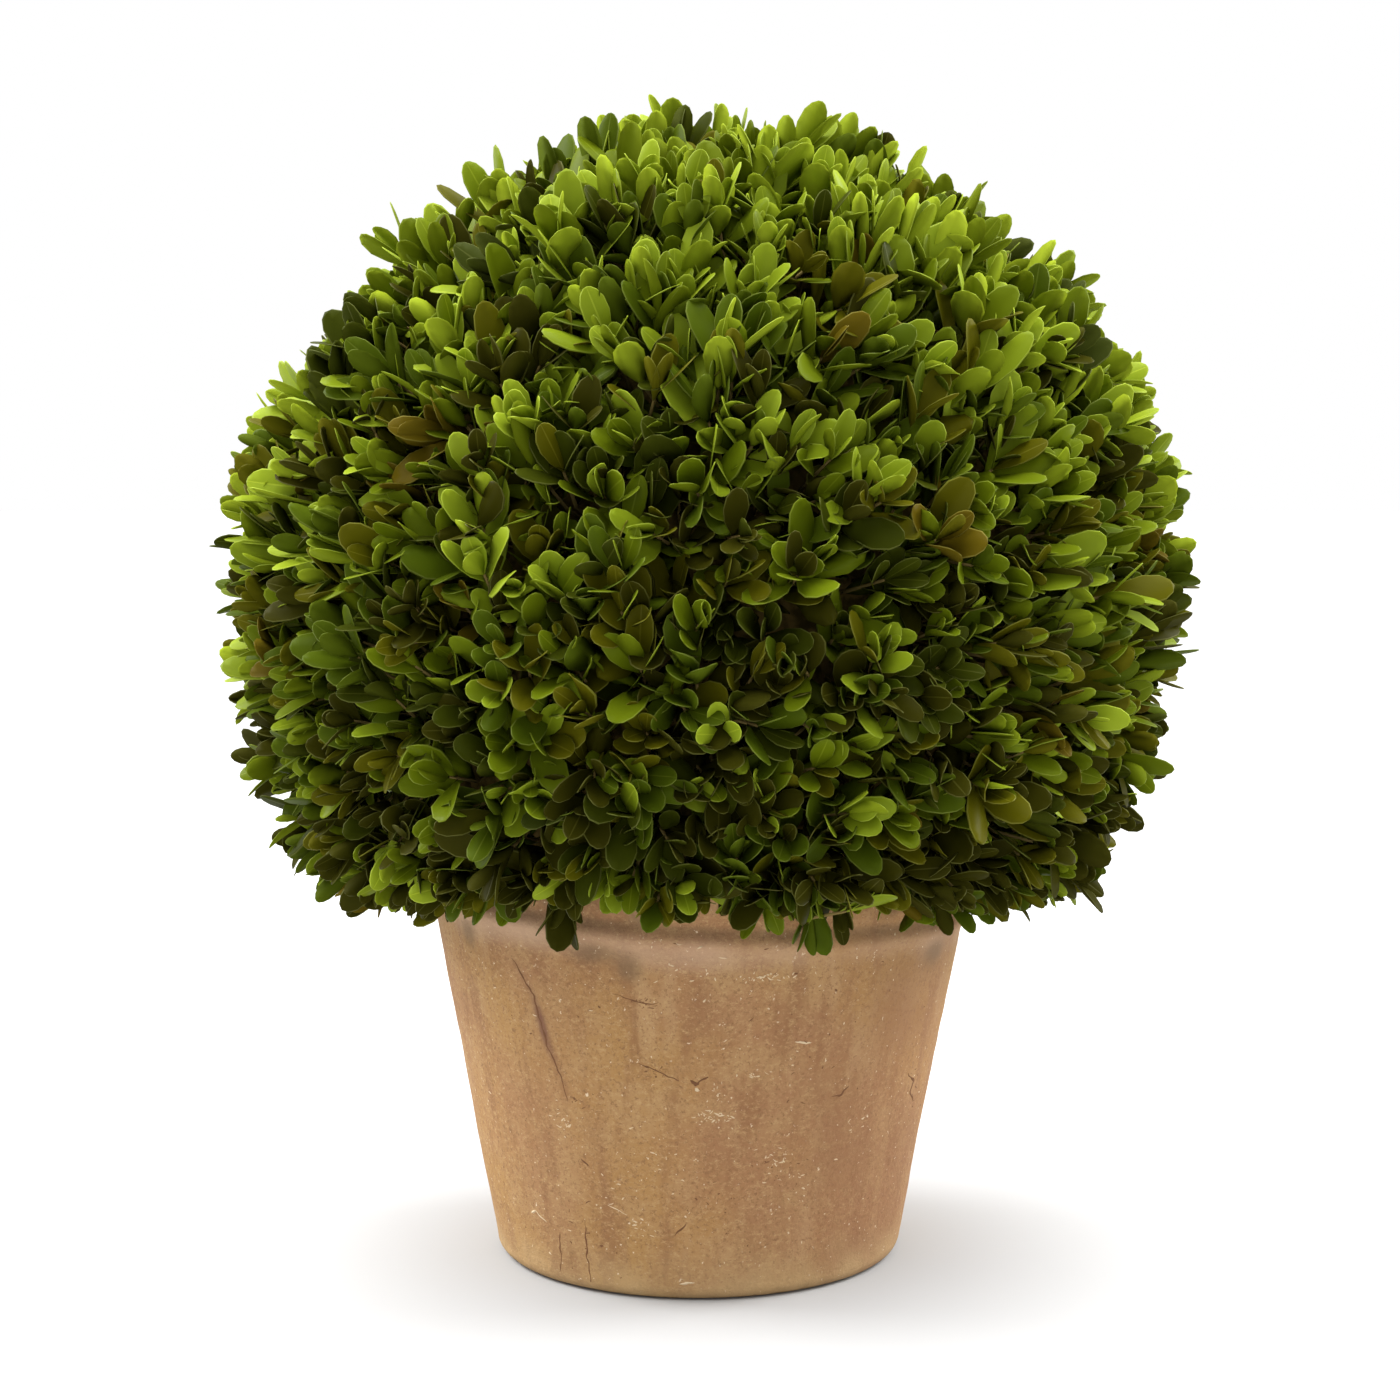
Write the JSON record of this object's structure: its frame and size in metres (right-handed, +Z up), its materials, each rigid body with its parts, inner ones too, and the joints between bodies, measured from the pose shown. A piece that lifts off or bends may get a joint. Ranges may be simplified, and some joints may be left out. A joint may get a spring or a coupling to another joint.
{
  "type": "potted box topiary ball",
  "caption": "Clipped evergreen box ball on a short hidden stem, growing in a tapered aged clay pot with a plain band at its rim.",
  "frame": {"origin": "centre of the pot's flat underside, on the surface it stands on", "axes": "+Z up, -Y towards the side that is seen from the front, +X to the right of that view"},
  "size_m": [0.3499, 0.3516, 0.4182],
  "materials": {
    "clay": "aged unglazed terracotta, matt, mottled tan to pinkish brown",
    "potting_soil": "dark damp peat and bark compost",
    "bark": "grey-brown bark, finely fissured",
    "leaves": "satin leaves, yellow-green on top and dark olive inside"
  },
  "bodies": {
    "root": {"pot": "clay", "soil": "potting_soil", "stem": "bark", "foliage_ball": "leaves"}
  },
  "joints": []
}
